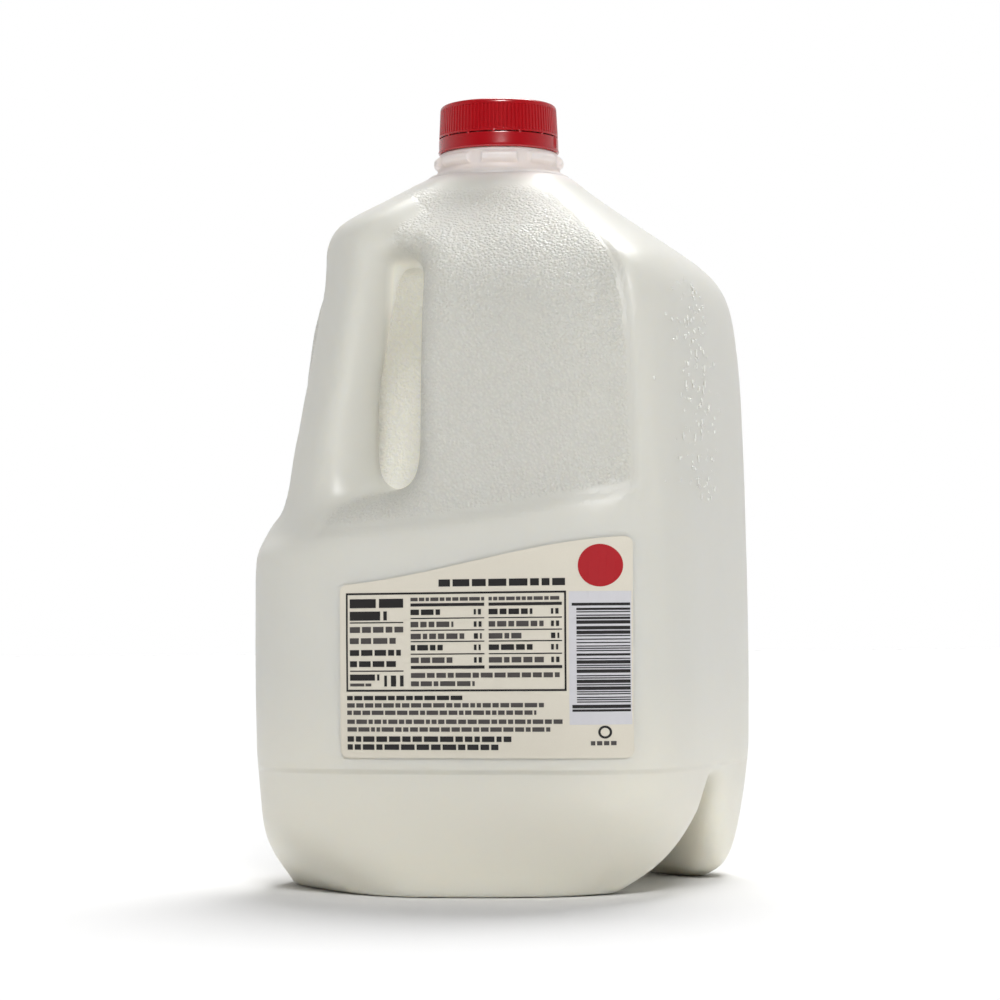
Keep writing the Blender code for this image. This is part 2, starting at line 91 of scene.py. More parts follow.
def apply_all(piece):
    """Apply each modifier of a piece, from the top."""
    only(piece)
    for name in [modifier.name for modifier in piece.modifiers]:
        bpy.ops.object.modifier_apply(modifier=name)


def named(name):
    """Name the piece that was just added, and settle its place in its mesh."""
    piece = bpy.context.object
    piece.name = name
    piece.data.name = name
    only(piece)
    bpy.ops.object.transform_apply(location=True, rotation=True, scale=True)
    return piece


def linear(code, alpha=1.0):
    """Linear colour of a hex code such as #f4f2ea."""
    values = [int(code[i:i + 2], 16) / 255 for i in (1, 3, 5)]
    return (*[v / 12.92 if v <= 0.04045 else ((v + 0.055) / 1.055) ** 2.4 for v in values], alpha)


def triangles(piece):
    return sum(len(face.vertices) - 2 for face in piece.data.polygons)


print("helpers ready")

# %% [markdown]
# Lights and finishes are drawn as nodes. One helper starts a material, and one adds a node, sets
# its properties, and gives each of its inputs a value or a link.

# %% Helpers for nodes
def material(name):
    """New material, with its node tree and its shader."""
    made = bpy.data.materials.new(name)
    made.use_nodes = True
    return made, made.node_tree, made.node_tree.nodes["Principled BSDF"]


def add(tree, kind, settings=None, **inputs):
    """Add a node. Settings are its properties. Inputs are values or sockets.

    An input goes by its name, with _ for a space, or by its number, such as n0.
    """
    node = tree.nodes.new(kind)
    for key, value in (settings or {}).items():
        setattr(node, key, value)
    for key, value in inputs.items():
        numbered = key[0] == "n" and key[1:].isdigit()
        socket = node.inputs[int(key[1:]) if numbered else key.replace("_", " ")]
        if isinstance(value, bpy.types.NodeSocket):
            tree.links.new(value, socket)
        else:
            socket.default_value = value
    return node


print("node helpers ready")

# %% [markdown]
# ## Camera
#
# The jug was photographed from its own height, turned so that one flat side faces the lens and
# the next is seen at a grazing angle. The lens is long and level. Its picture is shifted up a
# little, as a view camera does, so that upright edges stay upright.

# %% Place the camera
AZIMUTH = math.radians(-28.0)
DISTANCE = 1.050                 # m
PICTURE = 1000.0                 # pixels, both ways
FOCAL_PIXELS = 3150.0            # focal length, in pixels of that picture
SENSOR = 36.0                    # mm
AXIS_PIXEL = (502.7, 640.0)      # where the jug's axis meets the camera's level
CAMERA_Z = 80.4 * MM
FAR_CLIP = 20.0                  # m
ROLL = math.radians(-0.47)

back = Vector((math.sin(AZIMUTH), -math.cos(AZIMUTH), 0.0))
right = Vector((math.cos(AZIMUTH), math.sin(AZIMUTH), 0.0))
up = Vector((0.0, 0.0, 1.0))
sideways = (AXIS_PIXEL[0] - PICTURE / 2) / FOCAL_PIXELS * DISTANCE
lens_place = back * DISTANCE - right * sideways
lens_place.z = CAMERA_Z
turn = Matrix((right, up, back)).transposed().to_4x4()

lens = bpy.data.cameras.new("camera")
lens.sensor_width = SENSOR
lens.lens = FOCAL_PIXELS / PICTURE * SENSOR
lens.shift_y = (AXIS_PIXEL[1] - PICTURE / 2) / PICTURE
lens.clip_end = FAR_CLIP
camera = bpy.data.objects.new("camera", lens)
bpy.context.scene.collection.objects.link(camera)
camera.matrix_world = Matrix.Translation(lens_place) @ turn @ Matrix.Rotation(ROLL, 4, "Z")
bpy.context.scene.camera = camera
print("lens of", round(lens.lens, 1), "mm at", [round(v, 3) for v in lens_place])

# %% [markdown]
# ## Floor and light
#
# The studio is white all round, so the jug seems to stand in light, with a soft grey shadow at
# its foot. Only the room behind the lens is dark, and the shiny red cap mirrors that: deep in the
# middle, bright at both ends. The lamps are broad suns, which light a white floor evenly out to
# where it fades into the white behind. The main one stands high behind the jug at the right. It
# brightens the shoulder and drops the shadow towards the lens. A lower one lights the facing side.

# %% Make the floor and the lights
FLOOR_WIDTH = 40.0               # m
FLOOR_DROP = 0.2 * MM            # gap under the jug, so that no two faces coincide
WALL_LIGHT = 0.75                # towards the white wall behind the jug
ROOM_LIGHT = 0.03                # towards the dark room behind the lens
ROOM_SPAN = (-0.9, 0.7)          # facing the lens, from fully wall to fully room
CEILING = 0.05                   # share of that light overhead
CEILING_SPAN = (0.3, 0.9)        # rise of a direction, from no ceiling to all ceiling

bpy.ops.object.select_all(action="DESELECT")
bpy.ops.mesh.primitive_plane_add(size=FLOOR_WIDTH, location=(0.0, 0.0, -FLOOR_DROP))
floor = named("floor")
edit(floor)
bpy.ops.mesh.select_all(action="SELECT")
bpy.ops.mesh.subdivide(number_cuts=3)
leave()

world = bpy.data.worlds.new("studio")
bpy.context.scene.world = world
world.use_nodes = True
sky = world.node_tree
white = linear("#ffffff")
direction = add(sky, "ShaderNodeTexCoord").outputs["Generated"]
ahead = add(sky, "ShaderNodeVectorMath", {"operation": "DOT_PRODUCT"}, n0=direction, n1=back)
level = add(sky, "ShaderNodeMapRange", Value=ahead.outputs["Value"],
            From_Min=ROOM_SPAN[0], From_Max=ROOM_SPAN[1], To_Min=WALL_LIGHT, To_Max=ROOM_LIGHT)
height = add(sky, "ShaderNodeSeparateXYZ", Vector=direction).outputs["Z"]
ceiling = add(sky, "ShaderNodeMapRange", Value=height,
              From_Min=CEILING_SPAN[0], From_Max=CEILING_SPAN[1], To_Min=1.0, To_Max=CEILING)
share = add(sky, "ShaderNodeMath", {"operation": "MULTIPLY"},
            n0=level.outputs["Result"], n1=ceiling.outputs["Result"])
light = add(sky, "ShaderNodeBackground", Color=white, Strength=share.outputs["Value"])
backdrop = add(sky, "ShaderNodeBackground", Color=white, Strength=1.0)
seen = add(sky, "ShaderNodeLightPath").outputs["Is Camera Ray"]
either = add(sky, "ShaderNodeMixShader", n0=seen, n1=light.outputs[0], n2=backdrop.outputs[0])
sky.links.new(either.outputs[0], sky.nodes["World Output"].inputs["Surface"])
bpy.context.scene.view_settings.view_transform = "Standard"


def sun(name, from_where, tilt, strength, softness):
    """Broad lamp towards a level direction. Tilt is degrees down from straight overhead."""
    lamp = bpy.data.lights.new(name, "SUN")
    lamp.energy = strength
    lamp.angle = math.radians(softness)
    holder = bpy.data.objects.new(name, lamp)
    bpy.context.scene.collection.objects.link(holder)
    tilt = math.radians(tilt)
    towards = up * math.cos(tilt) + from_where.normalized() * math.sin(tilt)
    holder.matrix_world = towards.to_track_quat("Z", "Y").to_matrix().to_4x4()


sun("high", right * 0.25 - back * 0.97, tilt=30.0, strength=2.6, softness=30.0)
sun("front", back * 0.99 + right * 0.1, tilt=48.0, strength=1.78, softness=20.0)
print("floor of", FLOOR_WIDTH, "m and", len(bpy.data.lights), "lamps")

# %% [markdown]
# ## The bottle's wall
#
# The real wall is blown against a mould, so every edge is soft and every face swells a little.
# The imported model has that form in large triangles. Here its mesh is merged, cut off under the
# neck, and skinned again with small even faces, which a few rounds of smoothing relax, as hot
# plastic would. That gives a surface that catches long clean highlights.

# %% Skin the bottle again with fine faces
MERGE = 0.02 * MM                # points closer than this become one
NECK_CUT_Z = 233.6 * MM
WALL_CELL = 1.75 * MM
WALL_ROUNDS = 5
EASE = 0.5                       # how far a point moves in one round of smoothing

wall = bpy.data.objects.new("bottle_wall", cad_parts["jug"].data.copy())
bpy.context.scene.collection.objects.link(wall)
wall.data.materials.clear()
edit(wall)
bpy.ops.mesh.select_all(action="SELECT")
bpy.ops.mesh.remove_doubles(threshold=MERGE)
bpy.ops.mesh.select_all(action="SELECT")
bpy.ops.mesh.bisect(
    plane_co=(0.0, 0.0, NECK_CUT_Z), plane_no=(0.0, 0.0, 1.0), use_fill=True, clear_outer=True
)
leave()
skin = wall.modifiers.new("skin", "REMESH")
skin.mode = "VOXEL"
skin.voxel_size = WALL_CELL
relax = wall.modifiers.new("relax", "SMOOTH")
relax.factor = EASE
relax.iterations = WALL_ROUNDS
apply_all(wall)
bpy.ops.object.shade_smooth()
print("bottle wall:", triangles(wall), "triangles")

# %% [markdown]
# The mould's recessed panels beside the handle are etched with fine bumps, so that a wet hand
# keeps its grip, while the handle and the lower body are smooth. The mesh stores how much of
# that grain each point has, as an attribute, and the material reads it for the bumps and for
# painted shade in their low spots. The grain covers what lies between the ledge and the neck, on
# the handle's half of the jug, and a fine crease follows its border, which the material bumps and
# paints with shade. A third attribute marks the finger gap, whose wall the material paints
# lighter and makes glow, as painted light. Round it the plastic lies softly over the mould's
# edge, so that part of the wall is relaxed some more.

# %% Mark where the wall is grained
LEDGE_HANDLE_Z = 113.0 * MM
LEDGE_SIDE_Z = 126.0 * MM
LEDGE_FADE = (-1.0 * MM, 5.0 * MM)
GRAIN_TOP_Z = 229.0 * MM
GRAIN_TOP_FADE = 6.0 * MM
GRAIN_SIDE_ANGLE = math.radians(91.0)
GRAIN_SIDE_FADE = math.radians(3.0)
HANDLE_HALF_WIDTH = 19.0 * MM
HANDLE_SIDE_FADE = 3.0 * MM
HANDLE_INNER_X = -38.0 * MM
HANDLE_INNER_FADE = 2.0 * MM
GAP_HALF_WIDTH = 17.0 * MM
GAP_LOW_X = -45.0 * MM
GAP_HIGH_X = -18.0 * MM
GAP_Z = (124.0 * MM, 200.0 * MM)
GAP_FADE = 5.0 * MM
SOFT_HALF_WIDTH = 56.0 * MM
SOFT_LOW_X = -62.0 * MM
SOFT_FADE = 10.0 * MM
SOFT_ROUNDS = 60


def step(low, high, value):
    """Smooth change from 0 at low to 1 at high."""
    t = min(max((value - low) / (high - low), 0.0), 1.0)
    return t * t * (3.0 - 2.0 * t)


def panel(point):
    """Share of the recessed panels at a point of the wall, the handle included."""
    from_handle = abs(math.pi - abs(math.atan2(point.y, point.x)))
    ledge = LEDGE_HANDLE_Z + (LEDGE_SIDE_Z - LEDGE_HANDLE_Z) * (from_handle / (math.pi / 2)) ** 2
    share = step(ledge + LEDGE_FADE[0], ledge + LEDGE_FADE[1], point.z)
    return share * step(GRAIN_SIDE_ANGLE, GRAIN_SIDE_ANGLE - GRAIN_SIDE_FADE, from_handle)


def off_handle(point):
    """1 on the wall, 0 on the handle."""
    on_handle = step(HANDLE_HALF_WIDTH + HANDLE_SIDE_FADE, HANDLE_HALF_WIDTH, abs(point.y))
    inner_x, fade = HANDLE_INNER_X, HANDLE_INNER_FADE
    return 1.0 - on_handle * step(inner_x + fade, inner_x - fade, point.x)


def grain(point):
    """Share of the etched grain at a point of the wall, which the material bumps and paints with
    shade in its low spots.
    """
    below_neck = step(GRAIN_TOP_Z, GRAIN_TOP_Z - GRAIN_TOP_FADE, point.z)
    return panel(point) * off_handle(point) * below_neck


def crease(point):
    """Share of the crease along the panels' border, which the material bumps and paints with shade.
    """
    share = panel(point)
    return 4.0 * share * (1.0 - share) * off_handle(point)


def in_box(point, half_width, low_x, fade):
    """Share of a box round the finger gap, with soft borders."""
    share = step(half_width + fade, half_width, abs(point.y))
    for value, (low, high) in ((point.x, (low_x, GAP_HIGH_X)), (point.z, GAP_Z)):
        share *= step(low - GAP_FADE, low, value) * step(high + fade, high, value)
    return share


def gap(point):
    """Share of the finger gap's inner wall, which the material paints lighter and makes glow."""
    return in_box(point, GAP_HALF_WIDTH, GAP_LOW_X, GAP_FADE)


def soft(point):
    """Share of the soft edges that lead into the gap, without the handle."""
    return in_box(point, SOFT_HALF_WIDTH, SOFT_LOW_X, SOFT_FADE) * off_handle(point)


soft_edge = wall.vertex_groups.new(name="soft_edge")
for vertex in wall.data.vertices:
    soft_edge.add([vertex.index], soft(vertex.co), "REPLACE")
melt = wall.modifiers.new("melt", "SMOOTH")
melt.factor = EASE
melt.iterations = SOFT_ROUNDS
melt.vertex_group = soft_edge.name
apply_all(wall)

for name, amount in (("grain", grain), ("crease", crease), ("gap", gap)):
    marks = wall.data.attributes.new(name, "FLOAT", "POINT")
    marks.data.foreach_set("value", [amount(vertex.co) for vertex in wall.data.vertices])
    print(name, "marks", sum(1 for mark in marks.data if mark.value > 0.5), "points")

# %% [markdown]
# ## The neck
#
# The neck is trimmed and shaped by the same mould. From the shoulder it steps in to an upright
# wall, on which eight raised lugs, each with soft ends, stand in a ring under the tamper band and
# keep it from turning. The neck's outline is drawn by extruding one point along the section, and
# spinning that line once round the axis. The lugs are then drawn out of its wall.

# %% A helper that spins a section
def spun(name, section, steps):
    """Piece of revolution: a section of radius and height in mm, spun about the upright axis."""
    bpy.ops.object.select_all(action="DESELECT")
    bpy.ops.mesh.primitive_plane_add(size=1.0 * MM)
    piece = named(name)
    edit(piece, "VERT")
    bpy.ops.mesh.select_all(action="SELECT")
    bpy.ops.mesh.merge(type="CENTER")
    bpy.ops.mesh.select_all(action="SELECT")
    radius, height = section[0]
    bpy.ops.transform.translate(value=(radius * MM, 0.0, height * MM))
    for (r0, z0), (r1, z1) in zip(section, section[1:]):
        shift = ((r1 - r0) * MM, 0.0, (z1 - z0) * MM)
        bpy.ops.mesh.extrude_region_move(TRANSFORM_OT_translate={"value": shift})
    bpy.ops.mesh.select_all(action="SELECT")
    bpy.ops.mesh.spin(steps=steps, angle=math.tau, center=(0.0, 0.0, 0.0), axis=(0.0, 0.0, 1.0))
    bpy.ops.mesh.select_all(action="SELECT")
    bpy.ops.mesh.remove_doubles(threshold=MERGE)
    bpy.ops.mesh.select_all(action="SELECT")
    bpy.ops.mesh.normals_make_consistent(inside=False)
    leave()
    return piece


# %% Spin the neck and draw its lugs out
NECK_SECTION = [
    (0.0, 230.0), (24.0, 230.0), (24.2, 232.6), (23.9, 233.6), (22.9, 234.3), (21.6, 234.7),
    (20.7, 235.4), (20.3, 236.3), (20.2, 236.9), (20.1, 238.8), (20.0, 240.7), (19.9, 241.3),
    (19.4, 241.9), (18.4, 242.2), (17.4, 242.3), (17.4, 254.6), (0.0, 254.6),
]
NECK_STEPS = 144
LUGS = 8
LUG_SHARE = 0.80                 # part of each eighth that the lug takes
LUG_LOW_Z = 236.9 * MM
LUG_HIGH_Z = 240.7 * MM
LUG_WALL_RADIUS = 19.0 * MM      # the wall that bears the lugs is wider than this
LUG_RISE = 1.5 * MM
LUG_SLOPE = 0.8 * MM

neck = spun("bottle_neck", NECK_SECTION, NECK_STEPS)
edit(neck)


def in_lug(face):
    """True on the upright wall of the neck, inside one of the eight lugs."""
    centre = face.calc_center_median()
    if not LUG_LOW_Z < centre.z < LUG_HIGH_Z or centre.xy.length < LUG_WALL_RADIUS:
        return False
    from_lens = math.atan2(centre.y, centre.x) - math.atan2(back.y, back.x)
    turns = from_lens / math.tau * LUGS
    return abs(turns - round(turns)) < LUG_SHARE / 2


lug_faces = pick(neck, in_lug)
bpy.ops.mesh.inset(thickness=LUG_SLOPE, depth=LUG_RISE, use_boundary=True)
leave()
round_off = neck.modifiers.new("round_off", "SUBSURF")
round_off.levels = 2
round_off.render_levels = 2
apply_all(neck)
bpy.ops.object.shade_smooth()
print("neck:", lug_faces, "lug faces,", triangles(neck), "triangles")

# %% [markdown]
# ## The cap
#
# The cap is injection moulded, so it is crisp where the bottle is soft. It starts as a cylinder
# of 192 sides, drawn in a little towards the top. Two cuts leave a plain rim above and below,
# every second side between them is pressed in to make the ribs, and the top edge is rounded. The
# top has a shallow dish, and the underside is hollow for the neck.

# %% Model the ribbed cap
CAP_RADIUS = 19.75 * MM
CAP_DRAFT = 0.978                # top width against bottom width
CAP_BOTTOM_Z = 247.3 * MM
CAP_TOP_Z = 258.0 * MM
RIB_LOW_Z = 247.9 * MM
RIB_HIGH_Z = 256.4 * MM
RIB_SIDES = 192
RIB_DEPTH = 0.34 * MM
RIB_SLOPE = 0.2 * MM
TOP_ROUNDING = 1.4 * MM
CAP_WALL = 1.3 * MM
HOLLOW_DEPTH = 9.0 * MM
DISH_RIM = 3.2 * MM
DISH_SLOPE = 0.5 * MM
DISH_DEPTH = 0.4 * MM
DRAWN_IN = 0.6 * MM              # more than the draft takes off the top's radius
NEAR = 0.1 * MM                  # closer than this counts as being at a place
CAP_CRISP_ANGLE = math.radians(28.0)

bpy.ops.object.select_all(action="DESELECT")
bpy.ops.mesh.primitive_cylinder_add(
    vertices=RIB_SIDES, radius=CAP_RADIUS, depth=CAP_TOP_Z - CAP_BOTTOM_Z,
    location=(0.0, 0.0, (CAP_TOP_Z + CAP_BOTTOM_Z) / 2), end_fill_type="NGON",
)
cap = named("screw_cap")
edit(cap)
for level in (RIB_LOW_Z, RIB_HIGH_Z):
    bpy.ops.mesh.select_all(action="SELECT")
    bpy.ops.mesh.bisect(plane_co=(0.0, 0.0, level), plane_no=(0.0, 0.0, 1.0))
pick(cap, lambda vertex: vertex.co.z > RIB_HIGH_Z - NEAR, "verts")
bpy.ops.transform.resize(value=(CAP_DRAFT, CAP_DRAFT, 1.0), center_override=(0.0, 0.0, 0.0))


def on_rib(face):
    """True on every second side of the cap, between its plain rims."""
    centre = face.calc_center_median()
    if abs(face.normal.z) > 0.5 or not RIB_LOW_Z < centre.z < RIB_HIGH_Z:
        return False
    return int((math.atan2(centre.y, centre.x) / math.tau + 2.0) * RIB_SIDES) % 2


def underside(face):
    return face.normal.z < -0.9 and face.calc_center_median().z < CAP_BOTTOM_Z + NEAR


def top(face):
    return face.normal.z > 0.9 and face.calc_center_median().z > CAP_TOP_Z - NEAR


def on_top_edge(edge):
    """True on the edge where the cap's side meets its top."""
    return all(vertex.co.z > CAP_TOP_Z - NEAR / 2 and vertex.co.xy.length > CAP_RADIUS - DRAWN_IN
               for vertex in edge.verts)


ribs = pick(cap, on_rib)
bpy.ops.mesh.inset(thickness=RIB_SLOPE, depth=-RIB_DEPTH, use_individual=True)
pick(cap, underside)
bpy.ops.mesh.inset(thickness=CAP_WALL, depth=0.0)
bpy.ops.mesh.extrude_region_move(TRANSFORM_OT_translate={"value": (0.0, 0.0, HOLLOW_DEPTH)})
pick(cap, top)
bpy.ops.mesh.inset(thickness=DISH_RIM, depth=0.0)
bpy.ops.mesh.inset(thickness=DISH_SLOPE, depth=-DISH_DEPTH)
bpy.ops.mesh.select_mode(type="EDGE")
pick(cap, on_top_edge, "edges")
bpy.ops.mesh.bevel(offset=TOP_ROUNDING, segments=6)
leave()
only(cap)
bpy.ops.object.shade_smooth_by_angle(angle=CAP_CRISP_ANGLE)
print("cap:", ribs, "pressed sides,", triangles(cap), "triangles")

# %% [markdown]
# ## The tamper band
#
# Under the cap sits the hoop that stays behind when the cap is first twisted off. It is spun
# from a closed section, and small bridges still tie it to the cap, because nobody has opened
# this jug. Each bridge is the same small block with soft edges, set evenly round the rim. Two
# upright seams mark where the hoop's mould parts meet.

# %% Spin the band, then add its bridges and seams
BAND_SECTION = [
    (18.6, 247.0), (19.45, 247.0), (19.75, 246.85), (19.85, 246.5), (19.9, 243.3), (20.1, 242.7),
    (20.0, 242.3), (19.6, 242.1), (18.6, 242.1), (18.6, 247.0),
]
BAND_STEPS = 144
BAND_CRISP_ANGLE = math.radians(35.0)
BRIDGES = 14
BRIDGE_START = 0.1               # radians
BRIDGE_RADIUS = 19.5 * MM
BRIDGE_Z = (246.7 * MM, 247.6 * MM)
BRIDGE_WIDTH = 0.8 * MM
SEAM_ANGLES = (math.radians(-50.0), math.radians(-45.5))
SEAM_RADIUS = 19.9 * MM
SEAM_Z = (242.7 * MM, 246.7 * MM)
SEAM_WIDTH = 0.35 * MM

band = spun("tamper_hoop", BAND_SECTION, BAND_STEPS)


def stud(name, angle, radius, heights, width):
    """Small upright block with soft edges, standing on the rim."""
    low, high = heights
    bpy.ops.object.select_all(action="DESELECT")
    bpy.ops.mesh.primitive_cube_add(size=1.0, location=(radius, 0.0, (low + high) / 2))
    bpy.ops.transform.resize(value=(width, width, high - low))
    piece = named(name)
    edit(piece)
    bpy.ops.mesh.select_all(action="SELECT")
    bpy.ops.mesh.bevel(offset=min(width, high - low) * 0.25, segments=2)
    leave()
    piece.data.transform(Matrix.Rotation(angle, 4, "Z"))
    return piece


studs = []
for k in range(BRIDGES):
    angle = math.tau * k / BRIDGES + BRIDGE_START
    studs.append(stud("bridge", angle, BRIDGE_RADIUS, BRIDGE_Z, BRIDGE_WIDTH))
for angle in SEAM_ANGLES:
    studs.append(stud("seam", angle, SEAM_RADIUS, SEAM_Z, SEAM_WIDTH))
only(band)
for piece in studs:
    piece.select_set(True)
bpy.ops.object.join()
bpy.ops.object.shade_smooth_by_angle(angle=BAND_CRISP_ANGLE)
print("band:", len(studs), "studs,", triangles(band), "triangles")

# %% [markdown]
# ## The label
#
# The label is coated paper, glued flat to the facing side. Its lower corners are round, and its
# upper edge climbs from the handle towards the side corner. It starts as a plane whose upper
# edge is bent to that line. Its corners are rounded, cuts divide it evenly, and it is then
# projected onto the bottle's wall and given its thickness.

# %% Directions on the facing side
OUTWARD = Vector((-1.0, -1.0, 0.0)).normalized()
ALONG = Vector((1.0, -1.0, 0.0)).normalized()
UPRIGHT_TURN = Matrix((ALONG, up, OUTWARD)).transposed()
START_DISTANCE = 100.0 * MM
GRID = 2.5 * MM


def on_side(along, height, distance=START_DISTANCE):
    """Point in front of the facing side: mm along it and up."""
    place = OUTWARD * distance + ALONG * (along * MM)
    place.z = height * MM
    return place


def flat_piece(name, left, low, right_edge, high):
    """Upright plane in front of the facing side, from its edges in mm."""
    bpy.ops.object.select_all(action="DESELECT")
    bpy.ops.mesh.primitive_plane_add(size=1.0)
    piece = bpy.context.object
    piece.scale = ((right_edge - left) * MM, (high - low) * MM, 1.0)
    piece.rotation_euler = UPRIGHT_TURN.to_euler()
    piece.location = on_side((left + right_edge) / 2, (low + high) / 2)
    return named(name)


def lay_on(piece, target, clearance):
    """Project a flat piece onto another, along the side's normal."""
    wrap = piece.modifiers.new("wrap", "SHRINKWRAP")
    wrap.target = target
    wrap.wrap_method = "PROJECT"
    wrap.use_negative_direction = True
    wrap.use_positive_direction = False
    wrap.offset = clearance
    apply_all(piece)


def slice_up(piece):
    """Cut a flat piece along the lines of one grid, which paper and ink share."""
    edit(piece)
    for normal in (ALONG, up):
        places = [vertex.co.dot(normal) for vertex in piece.data.vertices]
        line = math.ceil(min(places) / GRID) * GRID
        while line < max(places):
            bpy.ops.mesh.select_all(action="SELECT")
            bpy.ops.mesh.bisect(plane_co=normal * line, plane_no=normal)
            line += GRID
    leave()


# %% Cut, round and lay the label
LABEL_LEFT = -30.5
LABEL_RIGHT = 62.2
LABEL_LOW = 43.9
LABEL_TOP_LEFT = 97.6
LABEL_TOP_RIGHT = 112.2
TOP_EDGE_EASE = (-0.1, 1.05)     # share of the width where its climb starts and ends
UPPER_POINTS_Z = 100.0 * MM      # the upper edge's points start above this
LABEL_CORNER = 2.3 * MM
LABEL_CLEARANCE = 0.35 * MM
PAPER_THICKNESS = 0.2 * MM
PAPER_CRISP_ANGLE = math.radians(40.0)
TOP_EDGE_CUTS = 23


def label_top(along):
    """Height in mm of the label's upper edge."""
    share = step(*TOP_EDGE_EASE, (along - LABEL_LEFT) / (LABEL_RIGHT - LABEL_LEFT))
    return LABEL_TOP_LEFT + (LABEL_TOP_RIGHT - LABEL_TOP_LEFT) * share


def upper(vertex):
    return vertex.co.z > UPPER_POINTS_Z


def at_corner(vertex):
    """True on the label's left and right edges, whose only points are the corners."""
    along = vertex.co.dot(ALONG)
    return min(abs(along - LABEL_LEFT * MM), abs(along - LABEL_RIGHT * MM)) < NEAR


label = flat_piece("paper_label", LABEL_LEFT, LABEL_LOW, LABEL_RIGHT, LABEL_TOP_RIGHT)
edit(label, "EDGE")
pick(label, lambda edge: all(upper(vertex) for vertex in edge.verts), "edges")
bpy.ops.mesh.subdivide(number_cuts=TOP_EDGE_CUTS)
shape = bmesh.from_edit_mesh(label.data)
for vertex in shape.verts:
    if upper(vertex):
        vertex.co.z = label_top(vertex.co.dot(ALONG) / MM) * MM
bmesh.update_edit_mesh(label.data)
bpy.ops.mesh.select_mode(type="VERT")
pick(label, at_corner, "verts")
bpy.ops.mesh.bevel(offset=LABEL_CORNER, segments=6, affect="VERTICES")
leave()
slice_up(label)
lay_on(label, wall, LABEL_CLEARANCE)
sheet = label.modifiers.new("paper", "SOLIDIFY")
sheet.thickness = PAPER_THICKNESS
sheet.offset = 1.0
apply_all(label)
bpy.ops.object.shade_smooth_by_angle(angle=PAPER_CRISP_ANGLE)
print("label:", triangles(label), "triangles")

# %% [markdown]
# ## The print
#
# The print is plain: a title bar, a framed table of rules and bars, lines below it, a field of
# stripes, and a red disc. Each printed shape is a plane without thickness in front of the side.
# The shapes of one ink are joined, cut along the same grid as the paper, and laid on it, so that
# no ink sinks into the paper between two cuts.

# %% Helpers that print bars and blocks
INK_HEIGHT = 0.05 * MM
RULE = 0.35                      # mm
SHORTEST_BLOCK = 0.6             # mm that must be left for one more block
BLOCK_SPACE = 0.38               # share of a block's height
black_ink = []
grey_ink = []
pale_ink = []
red_ink = []


def bar(left, low, right_edge, high, ink):
    """One printed rectangle, in mm on the side."""
    ink.append(flat_piece("ink", left, low, right_edge, high))


def rule(left, right_edge, z, thickness=RULE):
    """A level line in black."""
    bar(left, z - thickness / 2, right_edge, z + thickness / 2, black_ink)


def blocks(left, right_edge, z, height, seed, longest=5.0, ink=grey_ink):
    """A line of plain blocks, with narrow spaces."""
    dice = random.Random(seed)
    at = left
    while at < right_edge - SHORTEST_BLOCK:
        length = min(dice.uniform(0.3, 1.0) * longest, right_edge - at)
        bar(at, z - height / 2, at + length, z + height / 2, ink)
        at += length + height * BLOCK_SPACE


# %% Print the title and the framed table
FRAME_LEFT = -28.4
FRAME_RIGHT = 43.1
FRAME_LOW = 64.9
FRAME_HIGH = 95.1
FRAME_LINE = 0.6
COLUMN_LEFT = -27.1
COLUMN_RIGHT = -9.2
TABLE_COLUMNS = ((-6.8, 17.2), (18.6, 41.8))
COLUMN_ROWS = (83.9, 80.4, 76.7, 73.2)
TABLE_ROWS = (89.2, 85.4, 81.7, 78.2, 74.3)
TABLE_RULE = 0.95                # mm
ROW_HEIGHT = 1.7                 # mm

blocks(2.4, 42.8, 98.2, 2.2, 3, 8.0, black_ink)
rule(FRAME_LEFT, FRAME_RIGHT, FRAME_HIGH, FRAME_LINE)
rule(FRAME_LEFT, FRAME_RIGHT, FRAME_LOW, FRAME_LINE)
bar(FRAME_LEFT, FRAME_LOW, FRAME_LEFT + FRAME_LINE, FRAME_HIGH, black_ink)
bar(FRAME_RIGHT - FRAME_LINE, FRAME_LOW, FRAME_RIGHT, FRAME_HIGH, black_ink)

blocks(COLUMN_LEFT, COLUMN_RIGHT, 92.1, 2.8, 5, 12.0, black_ink)
blocks(COLUMN_LEFT, -14.6, 88.2, 2.8, 6, 12.0, black_ink)
rule(COLUMN_LEFT, COLUMN_RIGHT, 86.1)
for k, z in enumerate(COLUMN_ROWS):
    ink = black_ink if k > 1 else grey_ink
    blocks(COLUMN_LEFT, COLUMN_RIGHT - 2.5 * (k % 2), z, 1.8, 10 + k, ink=ink)
rule(COLUMN_LEFT, COLUMN_RIGHT, 71.0)
blocks(COLUMN_LEFT, -17.2, 69.0, 1.9, 20, 9.0, black_ink)
blocks(COLUMN_LEFT, -19.4, 66.7, 0.9, 22)
blocks(-15.6, COLUMN_RIGHT, 67.9, 3.4, 21, 2.2, black_ink)

for column, (left, right_edge) in enumerate(TABLE_COLUMNS):
    blocks(left, right_edge, 93.2, 1.1, 30 + column, 3.5)
    rule(left, right_edge, 91.5, TABLE_RULE)
    rule(left, right_edge, 72.1, TABLE_RULE)
    for k, z in enumerate(TABLE_ROWS):
        length = 10.5 + 3.5 * ((k + column) % 3)
        ink = black_ink if k in (0, 3) else grey_ink
        blocks(left, left + length, z, ROW_HEIGHT, 40 + 10 * column + k, 4.5, ink)
        blocks(right_edge - 3.4, right_edge, z, ROW_HEIGHT, 60 + k, 1.4, black_ink)
        if k:
            rule(left, right_edge, z + 1.9)
blocks(TABLE_COLUMNS[0][0], 41.0, 69.6, 1.5, 70)
blocks(TABLE_COLUMNS[0][0], 14.0, 67.0, 1.5, 71)
print("table printed:", len(black_ink), "black and", len(grey_ink), "grey shapes")

